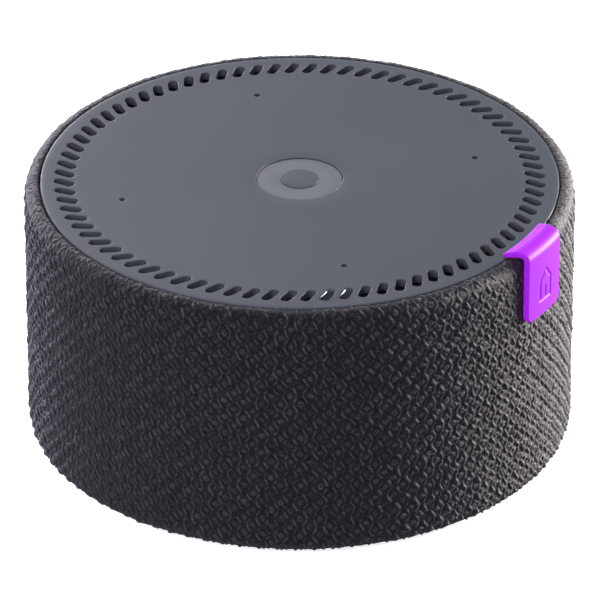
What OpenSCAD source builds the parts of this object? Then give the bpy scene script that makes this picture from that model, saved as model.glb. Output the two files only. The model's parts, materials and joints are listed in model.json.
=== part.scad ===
// Smart home hub: a puck-shaped voice hub with a knitted sleeve, a slotted top plate and a silicone side tag.
// Millimetres. The origin is the centre of the resting plane, +Z is up and the ports face +Y.

/* [Body] */
// Diameter over the knitted sleeve
body_d = 90; // [89:0.5:92]
// Height from the resting plane to the crown of the sleeve
body_h = 45; // [45:0.5:46]
// Height of the sleeve's lower edge above the resting plane
foot_gap = 0.4; // [0.3:0.1:0.6]
// Thickness of the knit on the shell
knit_t = 0.9; // [0.7:0.1:1]
// Wall thickness of the outer shell
shell_t = 1.8; // [1.6:0.1:1.8]

/* [Top plate] */
// Depth of the plate's face below the crown of the sleeve
plate_drop = 0.1; // [0:0.05:0.2]
// Thickness of the plate
plate_t = 1.6; // [1.4:0.1:1.8]
// Number of slots around the plate
slot_count = 80; // [72:4:80]
// Width of a slot
slot_w = 1.65; // [1.4:0.05:1.7]
// Length of a slot, end to end
slot_l = 3.7; // [3:0.1:3.8]
// Radius of the ring that the slots are centred on
slot_ring_r = 38.4; // [38.2:0.1:38.5]
// Angle between a slot and the radius through it
slot_tilt = 30; // [20:1:32]
// Radius of the ring that the microphone holes lie on
mic_ring_r = 29.6; // [28:0.1:29.8]
// Diameter of a microphone hole
mic_hole_d = 1.0; // [0.8:0.1:1.2]

/* [Action key] */
// Radius of the opening for the key
key_hole_r = 7.05; // [6.9:0.05:7.2]
// Depth of the key's face below the plate
key_drop = 0.2; // [0.1:0.05:0.3]
// Radius of the island in the middle of the key
island_r = 3.1; // [2.6:0.1:3.4]

/* [Side tag] */
// Width of the tag along the sleeve
tag_w = 10.2; // [8:0.2:12]
// Height of the tag's lower end above the resting plane
tag_low_z = 33.4; // [30:0.2:36]
// Thickness of the silicone
tag_t = 1.05; // [0.9:0.05:1.2]

/* [Ports] */
// Height of the port axis above the resting plane
port_z = 8.8; // [8.8:0.1:8.9]
// Radius of the audio jack's bore
jack_r = 1.8; // [1.75:0.05:1.85]
// Depth of the audio jack's bore
jack_depth = 14; // [13:0.5:14]
// Travel of the microphone slider
mute_travel = 2; // [1.5:0.1:2]

/* [Loudspeaker] */
// Radius of the driver's mounting flange
driver_r = 27; // [26.8:0.1:27.5]
// Radius of the cone at its outer edge
cone_r = 16.8; // [16.8:0.1:17]

/* [Hidden] */
$fn = 96;
eps = 0.1;

body_r = body_d / 2;
shell_r = body_r - knit_t;
shell_in_r = shell_r - shell_t;
shell_low_z = foot_gap + knit_t;
knit_top_round = 1.9;
knit_low_round = 2.2;

plate_r = shell_in_r;
plate_top_z = body_h - plate_drop;
plate_low_z = plate_top_z - plate_t;
plate_bevel = 0.3;
hem_top_r = plate_r + 0.35;
rim_in_r = shell_r - 0.7;
slot_step = 360 / slot_count;
slot_start = 1.62;
window_slots = [58, 59];
window_angle = slot_start + 58.5 * slot_step;
hook_count = 6;
flange_in_r = plate_r - 1;

cover_r = shell_in_r + 0.8;
cover_low_z = foot_gap + 0.5;
cover_t = 2;
cover_top_z = cover_low_z + cover_t;
foot_in_r = 31;
foot_out_r = 40.5;
foot_t = 1.5;
base_screw_r = 33.5;

board_low_z = 5;
board_t = 1.2;
board_top_z = board_low_z + board_t;
board_r = 38;

box_r = 40;
box_wall = 1.6;
box_low_z = 11.8;
box_floor = 1.4;
box_top_z = 32.1;
seal_t = 0.5;
baffle_low_z = box_top_z + seal_t;
baffle_t = 1.8;
baffle_top_z = baffle_low_z + baffle_t;
baffle_r = shell_in_r - 0.3;
box_screw_r = 35.6;

driver_gasket_t = 0.5;
driver_low_z = baffle_top_z + driver_gasket_t;
driver_top_z = driver_low_z + 1;
driver_screw_r = 24.9;
motor_top_z = 22.8;
washer_low_z = 20.4;
magnet_low_z = 15.4;
motor_low_z = 13.4;
coil_r = 6.75;

mic_board_t = 1;
mic_board_top_z = plate_low_z - 2.5;
mic_board_low_z = mic_board_top_z - mic_board_t;
mic_board_r = 31.5;
mic_t = 1;
plate_boss_r = 24;

key_r = key_hole_r - 0.15;
key_top_z = plate_top_z - key_drop;
key_low_z = plate_low_z - 0.7;
key_skin_z = key_top_z - 1.1;
switch_t = 1;
plunger_top_z = mic_board_top_z + 1.3;

tag_angle = -45;
tag_half = tag_w / (body_r + tag_t) * 90 / PI;
tag_gap = 0.04;

port_w = 30.4;
port_h = 8.6;
port_out_r = body_r - 0.1;
jack_x = -9.5;
jack_mouth_y = 43.6;
usb_w = 8.94;
usb_h = 3.2;
mute_angle = -13.8;

knit_color = [0.14, 0.13, 0.15];
plate_color = [0.42, 0.43, 0.46];
key_color = [0.50, 0.51, 0.54];
tag_color = [0.72, 0.20, 0.95];
black = [0.06, 0.06, 0.07];
steel = [0.70, 0.71, 0.73];
board_color = [0.05, 0.25, 0.16];

// ---- shared shapes ----

module ring(in_r, out_r, low_z, high_z) {
    translate([0, 0, low_z])
        difference() {
            cylinder(r = out_r, h = high_z - low_z);
            translate([0, 0, -eps]) cylinder(r = in_r, h = high_z - low_z + 2 * eps);
        }
}

module disc(r, low_z, high_z) {
    translate([0, 0, low_z]) cylinder(r = r, h = high_z - low_z);
}

// Puts its children at each of a number of equal angles
module around(count, r, start = 0) {
    for (i = [0 : count - 1]) rotate([0, 0, start + i * 360 / count]) translate([r, 0, 0]) children();
}

// A bar with half-round ends
module capsule(length, width) {
    square([length - width, width], center = true);
    for (s = [-1, 1]) translate([s * (length - width) / 2, 0]) circle(d = width);
}

module rounded_rect(width, height, r) {
    square([width - 2 * r, height], center = true);
    square([width, height - 2 * r], center = true);
    for (x = [-1, 1], y = [-1, 1])
        translate([x * (width / 2 - r), y * (height / 2 - r)]) circle(r = r);
}

// Half section of a disc whose outer corners are rounded, for revolving
module rounded_section(r, low_z, high_z, low_round, high_round) {
    translate([0, low_z + low_round]) square([r, high_z - low_z - low_round - high_round]);
    translate([0, low_z]) square([r - low_round, low_round + eps]);
    translate([0, high_z - high_round - eps]) square([r - high_round, high_round + eps]);
    translate([r - low_round, low_z + low_round]) circle(r = low_round);
    translate([r - high_round, high_z - high_round]) circle(r = high_round);
}

// Slot outline number k, in its place on the plate
module slot_place(k) {
    rotate([0, 0, slot_start + k * slot_step])
        translate([slot_ring_r, 0, 0])
            rotate([0, 0, -slot_tilt]) children();
}

// Solid bar of a given outline that runs out through the rear wall
module rear_cut(from_y, depth, x = 0) {
    translate([x, from_y + depth, port_z]) rotate([90, 0, 0]) linear_extrude(depth) children();
}

// Screw with its head on the given plane, pointing down when the length is positive
module screw(head_z, head_r, head_t, shank_r, length) {
    translate([0, 0, head_z]) cylinder(r = head_r, h = head_t);
    translate([0, 0, head_z - length]) cylinder(r = shank_r, h = length + eps);
}

function unit(v) = v / norm(v);

// Point on the smooth curve through route p, a part t of the way along stretch i
function curve_point(p, i, t) =
    let (a = p[max(i - 1, 0)], b = p[i], c = p[i + 1], d = p[min(i + 2, len(p) - 1)])
    (2 * b + (c - a) * t + (2 * a - 5 * b + 4 * c - d) * t * t + (3 * b - a - 3 * c + d) * t * t * t) / 2;

function curve(p, steps) =
    [for (i = [0 : len(p) - 2], j = [0 : steps - 1]) curve_point(p, i, j / steps), p[len(p) - 1]];

// Round wire along a flat route; side is the normal of the route's plane
module wire(route, r, side, steps = 5, sides = 8) {
    path = curve(route, steps);
    last = len(path) - 1;
    points = [
        for (i = [0 : last])
            let (along = unit(path[min(i + 1, last)] - path[max(i - 1, 0)]), across = cross(side, along))
            for (j = [0 : sides - 1])
                path[i] + r * (cos(j * 360 / sides) * across + sin(j * 360 / sides) * side)
    ];
    walls = [
        for (i = [0 : last - 1], j = [0 : sides - 1])
            let (a = i * sides + j, b = i * sides + (j + 1) % sides)
            each [[a, a + sides, b + sides], [a, b + sides, b]]
    ];
    caps = [
        for (j = [1 : sides - 2]) each [[0, j, j + 1], [last * sides, last * sides + j + 1, last * sides + j]]
    ];
    polyhedron(points = points, faces = concat(walls, caps), convexity = 4);
}

// ---- top plate and what it carries ----

module plate_section() {
    polygon([
        [0, plate_low_z], [plate_r, plate_low_z], [plate_r, plate_top_z - plate_bevel],
        [plate_r - plate_bevel, plate_top_z], [0, plate_top_z]
    ]);
}

// Snap hook that catches under the shell's top flange
module plate_hook() {
    stem_r = flange_in_r - 0.9;
    barb_z = plate_low_z - 1.35;
    rotate([0, 0, -4])
        rotate_extrude(angle = 8)
            polygon([
                [stem_r, plate_low_z + eps], [stem_r, barb_z - 0.55], [stem_r + 0.8, barb_z - 0.55],
                [stem_r + 1.4, barb_z], [stem_r + 0.8, barb_z], [stem_r + 0.8, plate_low_z + eps]
            ]);
}

module top_plate() {
    color(plate_color)
        difference() {
            union() {
                rotate_extrude() plate_section();
                around(hook_count, 0) plate_hook();
                around(4, plate_boss_r, 45) disc(2.2, mic_board_top_z, plate_low_z + eps);
            }
            for (k = [0 : slot_count - 1])
                slot_place(k)
                    translate([0, 0, plate_low_z - eps])
                        linear_extrude(plate_t + 2 * eps) capsule(slot_l, slot_w);
            around(4, mic_ring_r) disc(mic_hole_d / 2, plate_low_z - eps, plate_top_z + eps);
            around(4, plate_boss_r, 45) disc(0.87, mic_board_top_z - eps, plate_low_z - 0.3);
            disc(key_hole_r, plate_low_z - eps, plate_top_z + eps);
        }
}

module acoustic_mesh() {
    color(black)
        difference() {
            ring(36.3, 40.3, plate_low_z - 0.3, plate_low_z);
            rotate([0, 0, window_angle]) translate([34, -4.5, plate_low_z - 0.5]) cube([8, 9, 1]);
        }
}

// Glossy window with a crowned face, held by a shoulder under the plate
module sensor_window(k) {
    crown_r = 1.3;
    crown_z = plate_top_z + 0.25;
    color([0.10, 0.10, 0.12])
        slot_place(k)
            union() {
                intersection() {
                    translate([0, 0, plate_low_z - eps])
                        linear_extrude(plate_t + 0.5) capsule(slot_l - 0.06, slot_w - 0.06);
                    translate([-slot_l, 0, crown_z - crown_r])
                        rotate([0, 90, 0]) cylinder(r = crown_r, h = 2 * slot_l);
                }
                translate([0, 0, plate_low_z - 0.7]) linear_extrude(0.7) capsule(4.4, 2.3);
            }
}

module range_sensor() {
    color(black)
        rotate([0, 0, window_angle])
            translate([slot_ring_r - 1.1, -2.4, mic_board_top_z]) cube([2.2, 4.8, 1]);
}

module mic_board() {
    color(board_color)
        difference() {
            union() {
                disc(mic_board_r, mic_board_low_z, mic_board_top_z);
                rotate([0, 0, window_angle])
                    translate([mic_board_r - 3, -3.2, mic_board_low_z])
                        cube([slot_ring_r - mic_board_r + 4.6, 6.4, mic_board_t]);
            }
            around(4, plate_boss_r, 45) disc(1, mic_board_low_z - eps, mic_board_top_z + eps);
        }
}

module microphone(i) {
    color(steel)
        rotate([0, 0, 90 * (i - 1)])
            translate([mic_ring_r - 1.75, -1.3, mic_board_top_z])
                difference() {
                    cube([3.5, 2.6, mic_t]);
                    translate([1.75, 1.3, mic_t - 0.3]) cylinder(r = 0.3, h = 1);
                }
}

module mic_gasket(i) {
    color(black)
        rotate([0, 0, 90 * (i - 1)])
            translate([mic_ring_r, 0, 0]) ring(0.6, 1.7, mic_board_top_z + mic_t, plate_low_z);
}

module board_screws() {
    color(steel)
        around(4, plate_boss_r, 45)
            rotate([180, 0, 0]) screw(-mic_board_low_z, 1.7, 1.1, 0.85, 2.9);
}

// ---- action key ----

module action_key() {
    color(key_color)
        difference() {
            rotate_extrude()
                polygon([
                    [0, key_skin_z], [key_r - 0.9, key_skin_z], [key_r - 0.9, key_low_z],
                    [key_r + 0.8, key_low_z], [key_r + 0.8, key_low_z + 0.5], [key_r, key_low_z + 0.5],
                    [key_r, key_top_z - 0.15], [key_r - 0.15, key_top_z], [0, key_top_z]
                ]);
            disc(island_r, key_top_z - 0.7, key_top_z + eps);
        }
    color(key_color) disc(0.85, plunger_top_z, key_skin_z + 0.05);
}

module key_island() {
    color(plate_color) disc(island_r, key_top_z - 0.7, plate_top_z - 0.02);
}

module key_switch() {
    color(black)
        difference() {
            translate([-2.25, -2.25, mic_board_top_z]) cube([4.5, 4.5, switch_t]);
            disc(0.96, mic_board_top_z + 0.05, mic_board_top_z + switch_t + eps);
        }
}

module key_plunger() {
    color(steel) disc(0.9, mic_board_top_z + 0.5, plunger_top_z);
}

module light_cup() {
    color("white") ring(8, 9, mic_board_top_z, plate_low_z);
}

module led(i) {
    color("ivory")
        rotate([0, 0, 90 * i - 45]) translate([3.8, -1, mic_board_top_z]) cube([2, 2, 0.8]);
}

// ---- side tag, sleeve and shell ----

module side_tag() {
    lip_r = plate_r - 0.55;
    high_z = body_h + tag_t - 0.1;
    color(tag_color)
        rotate([0, 0, tag_angle - tag_half])
            rotate_extrude(angle = 2 * tag_half)
                union() {
                    difference() {
                        rounded_section(body_r + tag_t + tag_gap, tag_low_z, high_z, 0.4, 2);
                        rounded_section(body_r + tag_gap, 0, body_h + tag_gap, 1, knit_top_round);
                        translate([-eps, 0]) square([lip_r + 0.5 + eps, body_h + 5]);
                    }
                    translate([lip_r + 0.5, high_z - 0.5]) circle(r = 0.5);
                    translate([lip_r, plate_top_z + 0.02]) square([0.85, high_z - plate_top_z - 0.52]);
                    translate([plate_r + 0.03, plate_low_z + eps])
                        square([0.29, plate_t + plate_drop + tag_gap]);
                }
}

// Knit that covers the shell and turns in over its top rim and under its lower edge
module knit_sleeve() {
    color(knit_color)
        difference() {
            rotate_extrude()
                difference() {
                    rounded_section(body_r, foot_gap, body_h, knit_low_round, knit_top_round);
                    square([hem_top_r, body_h + eps]);
                    square([cover_r + 0.15, shell_low_z + eps]);
                    translate([0, shell_low_z]) square([shell_r, plate_low_z - shell_low_z]);
                    translate([rim_in_r, plate_low_z - eps]) square([shell_r - rim_in_r, 0.9 + eps]);
                }
            rear_cut(30, 20) rounded_rect(port_w + 0.5, port_h + 0.5, 2.6);
        }
}

module outer_shell() {
    color(black)
        difference() {
            rotate_extrude()
                polygon([
                    [cover_r + 0.1, shell_low_z], [shell_r, shell_low_z], [shell_r, plate_low_z + 0.9],
                    [rim_in_r, plate_low_z + 0.9], [rim_in_r, plate_low_z], [flange_in_r, plate_low_z],
                    [flange_in_r, plate_low_z - 1.2], [shell_in_r, plate_low_z - 2.2],
                    [shell_in_r, baffle_top_z + 2.4], [shell_in_r - 1.3, baffle_top_z + 1.2],
                    [shell_in_r - 1.3, baffle_top_z], [shell_in_r, baffle_top_z],
                    [shell_in_r, cover_top_z + 0.1], [cover_r + 0.1, cover_top_z + 0.1]
                ]);
            rear_cut(30, 20) rounded_rect(port_w + 0.2, port_h + 0.2, 2.5);
        }
}

// ---- base ----

module bottom_cover() {
    color(black)
        difference() {
            union() {
                disc(cover_r, cover_low_z, cover_top_z);
                ring(40.6, 41.8, cover_top_z - eps, cover_top_z + 1.3);
                around(4, base_screw_r, 45) disc(3.2, cover_top_z - eps, board_low_z);
            }
            ring(foot_in_r - 0.2, foot_out_r + 0.2, cover_low_z - eps, foot_t);
            disc(24, cover_low_z - eps, cover_low_z + 0.3);
            around(4, base_screw_r, 45) {
                disc(2.5, cover_low_z, 3.6);
                disc(1.5, 3.5, board_low_z + eps);
            }
        }
}

module foot_ring() {
    color([0.10, 0.10, 0.10]) ring(foot_in_r, foot_out_r, 0, foot_t);
}

module base_screws() {
    color(steel)
        around(4, base_screw_r, 45) rotate([180, 0, 0]) screw(-3.6, 2.2, 1.6, 1.25, 8.6);
}

// ---- ports at the rear ----

module usb_opening(grow) {
    capsule(usb_w + grow, usb_h + grow);
}

module port_panel() {
    color(black)
        difference() {
            union() {
                intersection() {
                    ring(shell_in_r - 0.1, port_out_r, 0, 20);
                    rear_cut(30, 20) rounded_rect(port_w, port_h, 2.4);
                }
                intersection() {
                    ring(shell_in_r - 0.8, shell_in_r - 0.05, 0, 20);
                    rear_cut(30, 20) rounded_rect(port_w + 5.6, port_h - 0.2, 2);
                }
            }
            rear_cut(30, 20) usb_opening(0.6);
            rear_cut(30, 20, jack_x) circle(r = 3.1);
            rotate([0, 0, mute_angle]) {
                rear_cut(30, 20) capsule(6.2, 2.6);
                rear_cut(30, 13.2) square([12, 5.2], center = true);
            }
        }
}

module usb_socket() {
    color(steel) {
        difference() {
            rear_cut(36, 7.6) usb_opening(0);
            rear_cut(36.6, 8) usb_opening(-0.6);
        }
        for (x = [-3.6, 2.8], y = [36.4, 37.6])
            translate([x, y, board_top_z]) cube([0.8, 0.8, port_z - usb_h / 2 - board_top_z + 0.05]);
    }
}

module usb_tongue() {
    color(black) translate([-3.3, 36.6, port_z - 0.35]) cube([6.6, 5.6, 0.7]);
}

module audio_jack() {
    body_front_y = 39.1;
    color(black)
        difference() {
            union() {
                translate([jack_x - 3.2, 28, board_top_z])
                    cube([6.4, body_front_y - 28, 2 * (port_z - board_top_z)]);
                rear_cut(body_front_y - eps, jack_mouth_y - body_front_y + eps, jack_x) circle(r = 2.9);
            }
            rear_cut(jack_mouth_y - jack_depth, jack_depth + eps, jack_x) circle(r = jack_r);
        }
}

// The slider, its lever and its switch stand in a frame turned to face the panel
module mute_place(shift = 0) {
    rotate([0, 0, mute_angle]) translate([shift, 0, 0]) children();
}

module mute_slider() {
    fork_z = board_top_z + 0.35;
    color([0.55, 0.55, 0.58])
        mute_place(-mute_travel / 2)
            union() {
                rear_cut(42.5, 3) capsule(3.4, 2.1);
                rear_cut(42.1, 0.8) square([8, 4.4], center = true);
                for (x = [-1.65, 0.75]) translate([x, 40.3, fork_z]) cube([0.9, 1.9, 1.4]);
            }
}

module mute_lever() {
    color("white")
        mute_place(-mute_travel / 2) translate([-0.65, 37.7, board_top_z + 0.5]) cube([1.3, 3.5, 0.8]);
}

module mute_switch() {
    color(steel)
        mute_place()
            difference() {
                translate([-3.35, 36.2, board_top_z]) cube([6.7, 2.7, 1.5]);
                translate([-1.8, 37.5, board_top_z + 0.4]) cube([3.6, 3, 1]);
            }
}

// ---- main board ----

module main_board() {
    color(board_color)
        difference() {
            union() {
                disc(board_r, board_low_z, board_top_z);
                translate([-13, 20, board_low_z]) cube([26, 19, board_t]);
            }
            around(4, base_screw_r, 45) disc(1.5, board_low_z - eps, board_top_z + eps);
        }
}

module chip(x, y, width, depth, height) {
    translate([x - width / 2, y - depth / 2, board_top_z]) cube([width, depth, height]);
}

module processor() {
    color(black) chip(-8, -4, 12, 12, 1.1);
}

module memory_chip() {
    color(black) chip(7, -4, 9, 11, 0.9);
}

module shield_can() {
    color(steel)
        difference() {
            chip(-0.5, -4, 33, 18, 2.4);
            translate([0, 0, -eps]) chip(-0.5, -4, 32.5, 17.5, 2.25);
        }
}

module power_inductor() {
    color([0.25, 0.25, 0.26]) chip(6, 24, 6, 6, 2.8);
}

// The sockets for the flat cable on both boards, and the one for the speaker leads
module board_sockets() {
    color("ivory") {
        chip(-35.5, 0, 3, 7.4, 1.4);
        chip(26, 0, 3.2, 5.2, 3.2);
        translate([-30, -3.7, mic_board_low_z - 1.2]) cube([3, 7.4, 1.2]);
    }
}

// ---- speaker box ----

module speaker_box() {
    color([0.16, 0.16, 0.17])
        difference() {
            union() {
                difference() {
                    disc(box_r, box_low_z, box_top_z);
                    disc(box_r - box_wall, box_low_z + box_floor, box_top_z + eps);
                }
                around(4, base_screw_r, 45) disc(2.9, board_top_z, box_low_z + eps);
                around(6, box_screw_r, 30) {
                    disc(2.4, 24, box_top_z);
                    translate([0, -0.8, 24]) cube([box_r - box_wall - box_screw_r + eps, 1.6, box_top_z - 24]);
                }
            }
            around(4, base_screw_r, 45) disc(1.27, board_top_z - eps, 12.8);
            around(6, box_screw_r, 30) disc(1.02, 25.5, box_top_z + eps);
            translate([26, 0, 0]) disc(1.9, box_low_z - eps, box_low_z + box_floor + eps);
        }
}

module box_seal() {
    color(black) ring(box_r - 1.4, box_r - 0.2, box_top_z, baffle_low_z);
}

module driver_baffle() {
    color([0.16, 0.16, 0.17])
        difference() {
            union() {
                disc(baffle_r, baffle_low_z, baffle_top_z);
                around(4, driver_screw_r, 45) disc(2.4, 28.5, baffle_low_z + eps);
            }
            disc(22, baffle_low_z - eps, baffle_top_z + eps);
            around(6, box_screw_r, 30) disc(1.2, baffle_low_z - eps, baffle_top_z + eps);
            around(4, driver_screw_r, 45) disc(1.02, 29, baffle_top_z + eps);
            translate([-50, -3.6, baffle_low_z - eps]) cube([9.7, 7.2, baffle_t + 2 * eps]);
        }
}

module box_screws() {
    color(steel) around(6, box_screw_r, 30) screw(baffle_top_z, 1.8, 1.2, 1, 8.4);
}

// ---- loudspeaker driver ----

module driver_gasket() {
    color(black)
        difference() {
            ring(22.2, driver_r - 0.2, baffle_top_z, driver_low_z);
            around(4, driver_screw_r, 45) disc(1.2, baffle_top_z - eps, driver_low_z + eps);
        }
}

module driver_frame() {
    wall_r = 21.4;
    color([0.30, 0.30, 0.31])
        difference() {
            rotate_extrude()
                polygon([
                    [9, motor_top_z], [15.6, motor_top_z], [wall_r, 30.4], [wall_r, driver_low_z],
                    [driver_r, driver_low_z], [driver_r, driver_top_z], [wall_r - 0.9, driver_top_z],
                    [wall_r - 0.9, 30.8], [15.1, motor_top_z + 1.2], [9, motor_top_z + 1.2]
                ]);
            around(4, driver_screw_r, 45) disc(1.2, driver_low_z - eps, driver_top_z + eps);
            around(4, 14, 45) translate([0, -4, 26.5]) cube([10, 8, 4.5]);
        }
}

module driver_screws() {
    color(steel) around(4, driver_screw_r, 45) screw(driver_top_z, 1.7, 1.1, 1, 6);
}

module front_washer() {
    color(steel) ring(7.1, 14.5, washer_low_z, motor_top_z);
}

module magnet() {
    color([0.20, 0.20, 0.21]) ring(9, 15.5, magnet_low_z, washer_low_z);
}

module pole_plate() {
    color(steel) {
        disc(14.5, motor_low_z, magnet_low_z);
        disc(6.05, magnet_low_z - eps, motor_top_z);
    }
}

module voice_coil() {
    color([0.72, 0.45, 0.20]) ring(coil_r - 0.4, coil_r, 18, 29.4);
}

// Corrugated disc between the voice coil and the frame
module spider() {
    wave = 0.3;
    low_z = 25;
    steps = 9;
    first_r = coil_r + 0.05;
    pitch = (15.8 - first_r) / steps;
    color([0.75, 0.62, 0.25])
        rotate_extrude()
            polygon(concat(
                [for (i = [0 : steps]) [first_r + i * pitch, low_z + wave * (i % 2)]],
                [for (i = [steps : -1 : 0]) [first_r + i * pitch, low_z + 0.4 + wave * (i % 2)]]
            ));
}

module cone() {
    neck_z = 28.6;
    neck_r = coil_r + 0.05;
    color([0.10, 0.10, 0.11])
        rotate_extrude()
            polygon([
                [neck_r, neck_z], [neck_r + 0.4, neck_z], [cone_r, driver_top_z], [cone_r - 0.5, driver_top_z]
            ]);
}

// Half-round rubber roll between the cone's edge and the frame's flange
module surround() {
    roll_r = (21.2 - cone_r + 0.5) / 2;
    roll_mid = cone_r - 0.5 + roll_r;
    color(black)
        rotate_extrude() {
            intersection() {
                difference() {
                    translate([roll_mid, driver_top_z]) circle(r = roll_r);
                    translate([roll_mid, driver_top_z]) circle(r = roll_r - 0.4);
                }
                translate([0, driver_top_z]) square([30, 5]);
            }
            translate([roll_mid + roll_r - 0.4, driver_top_z]) square([22.6 - roll_mid - roll_r + 0.4, 0.4]);
        }
}

// Dome that closes the cone's neck
module dust_cap() {
    dome_r = 10;
    foot_r = 8.2;
    foot_z = 29.65;
    color([0.12, 0.12, 0.13])
        intersection() {
            translate([0, 0, foot_z - sqrt(dome_r * dome_r - foot_r * foot_r)])
                difference() {
                    sphere(r = dome_r);
                    sphere(r = dome_r - 0.4);
                }
            disc(foot_r + 1, foot_z, foot_z + 10);
        }
}

// ---- cables ----

// Ribbon that runs from the microphone board down beside the speaker box to the main board
module flat_cable() {
    out_x = -40.75;
    thick = 0.2;
    high_z = mic_board_low_z - 0.4;
    low_z = board_top_z + 0.6;
    mid_z = (high_z + low_z) / 2;
    color("white")
        rotate([90, 0, 0])
            linear_extrude(6, center = true)
                difference() {
                    translate([out_x + 10, mid_z]) rounded_rect(20, high_z - low_z, 1.2);
                    translate([out_x + 10, mid_z])
                        rounded_rect(20 - 2 * thick, high_z - low_z - 2 * thick, 1);
                    translate([-30, 0]) square([20, 50]);
                    translate([-37, low_z - eps]) square([20, 1]);
                }
}

module speaker_leads() {
    for (side = [-1, 1])
        color(side < 0 ? "firebrick" : black)
            wire([
                [22, side, 31.5], [24.4, side, 30.5], [26, side, 26], [26, side, 18],
                [26, side, 12], [26, side, board_top_z + 3.2]
            ], 0.6, [0, 1, 0]);
}

top_plate();
acoustic_mesh();
action_key();
key_island();
key_switch();
key_plunger();
light_cup();
led(1);  // led_1
led(2);  // led_2
led(3);  // led_3
led(4);  // led_4
sensor_window(window_slots[0]);  // sensor_window_1
sensor_window(window_slots[1]);  // sensor_window_2
range_sensor();
mic_board();
microphone(1);  // mic_1
microphone(2);  // mic_2
microphone(3);  // mic_3
microphone(4);  // mic_4
mic_gasket(1);  // mic_gasket_1
mic_gasket(2);  // mic_gasket_2
mic_gasket(3);  // mic_gasket_3
mic_gasket(4);  // mic_gasket_4
board_screws();
side_tag();
knit_sleeve();
outer_shell();
bottom_cover();
foot_ring();
base_screws();
port_panel();
usb_socket();
usb_tongue();
audio_jack();
mute_slider();
mute_lever();
mute_switch();
main_board();
processor();
memory_chip();
shield_can();
power_inductor();
board_sockets();
speaker_box();
box_seal();
driver_baffle();
box_screws();
driver_gasket();
driver_frame();
driver_screws();
front_washer();
magnet();
pole_plate();
voice_coil();
spider();
cone();
surround();
dust_cap();
flat_cable();
speaker_leads();
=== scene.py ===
import json
import math

import bmesh
import bpy
import numpy as np
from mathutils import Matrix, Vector


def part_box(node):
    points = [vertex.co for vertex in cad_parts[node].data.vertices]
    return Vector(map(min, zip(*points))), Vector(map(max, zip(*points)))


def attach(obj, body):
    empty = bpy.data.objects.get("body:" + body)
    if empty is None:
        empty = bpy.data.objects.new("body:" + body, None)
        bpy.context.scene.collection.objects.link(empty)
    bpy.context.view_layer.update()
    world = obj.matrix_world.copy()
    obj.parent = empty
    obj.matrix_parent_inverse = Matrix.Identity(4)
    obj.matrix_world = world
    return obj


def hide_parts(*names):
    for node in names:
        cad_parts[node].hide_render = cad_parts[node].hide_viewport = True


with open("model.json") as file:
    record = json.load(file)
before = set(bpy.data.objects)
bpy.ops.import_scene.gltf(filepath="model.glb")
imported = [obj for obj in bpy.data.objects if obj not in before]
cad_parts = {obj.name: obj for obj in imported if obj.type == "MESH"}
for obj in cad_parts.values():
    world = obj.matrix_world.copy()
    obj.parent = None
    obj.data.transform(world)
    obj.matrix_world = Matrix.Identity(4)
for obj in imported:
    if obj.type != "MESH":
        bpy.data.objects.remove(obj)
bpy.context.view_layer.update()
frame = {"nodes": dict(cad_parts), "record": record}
mm = 0.001
print("frame loaded:", len(frame["nodes"]), "nodes")

# places taken from the frame
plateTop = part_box("top_plate")[1].z
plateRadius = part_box("top_plate")[1].x
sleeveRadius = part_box("knit_sleeve")[1].x
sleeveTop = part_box("knit_sleeve")[1].z
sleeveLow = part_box("knit_sleeve")[0].z
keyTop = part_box("action_key")[1].z
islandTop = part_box("key_island")[1].z
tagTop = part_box("side_tag")[1].z
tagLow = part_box("side_tag")[0].z


# ---------- mesh helpers ----------

def makeMesh(name, points, faceSets, uv=None, fields=None, sharp=35):
    # points is n by 3, each face set holds corner numbers; fields are named values at the points
    mesh = bpy.data.meshes.new(name)
    corners = np.concatenate([faces.ravel() for faces in faceSets]).astype(np.int32)
    sizes = np.concatenate([np.full(len(faces), faces.shape[1]) for faces in faceSets])
    starts = np.concatenate([[0], np.cumsum(sizes)[:-1]]).astype(np.int32)
    mesh.vertices.add(len(points))
    mesh.vertices.foreach_set("co", points.astype(np.float32).ravel())
    mesh.loops.add(len(corners))
    mesh.loops.foreach_set("vertex_index", corners)
    mesh.polygons.add(len(starts))
    mesh.polygons.foreach_set("loop_start", starts)
    mesh.update(calc_edges=True)
    mesh.polygons.foreach_set("use_smooth", np.ones(len(starts), dtype=bool))
    if uv is not None:
        layer = mesh.uv_layers.new(name="UVMap")
        layer.data.foreach_set("uv", uv[corners].astype(np.float32).ravel())
    for key, values in (fields or {}).items():
        mesh.attributes.new(key, "FLOAT", "POINT").data.foreach_set("value", values.astype(np.float32))
    if sharp:
        mesh.set_sharp_from_angle(angle=math.radians(sharp))
    piece = bpy.data.objects.new(name, mesh)
    bpy.context.scene.collection.objects.link(piece)
    return piece


def gridFaces(rows, columns, closeRows=False, closeColumns=False):
    # quads of a rows by columns grid of points, wrapped round where asked
    rowIds = np.arange(rows if closeRows else rows - 1)
    columnIds = np.arange(columns if closeColumns else columns - 1)
    i, j = np.meshgrid(rowIds, columnIds, indexing="ij")
    nextI, nextJ = (i + 1) % rows, (j + 1) % columns
    corners = [i * columns + j, i * columns + nextJ, nextI * columns + nextJ, nextI * columns + j]
    return np.stack(corners, -1).reshape(-1, 4)


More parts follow.
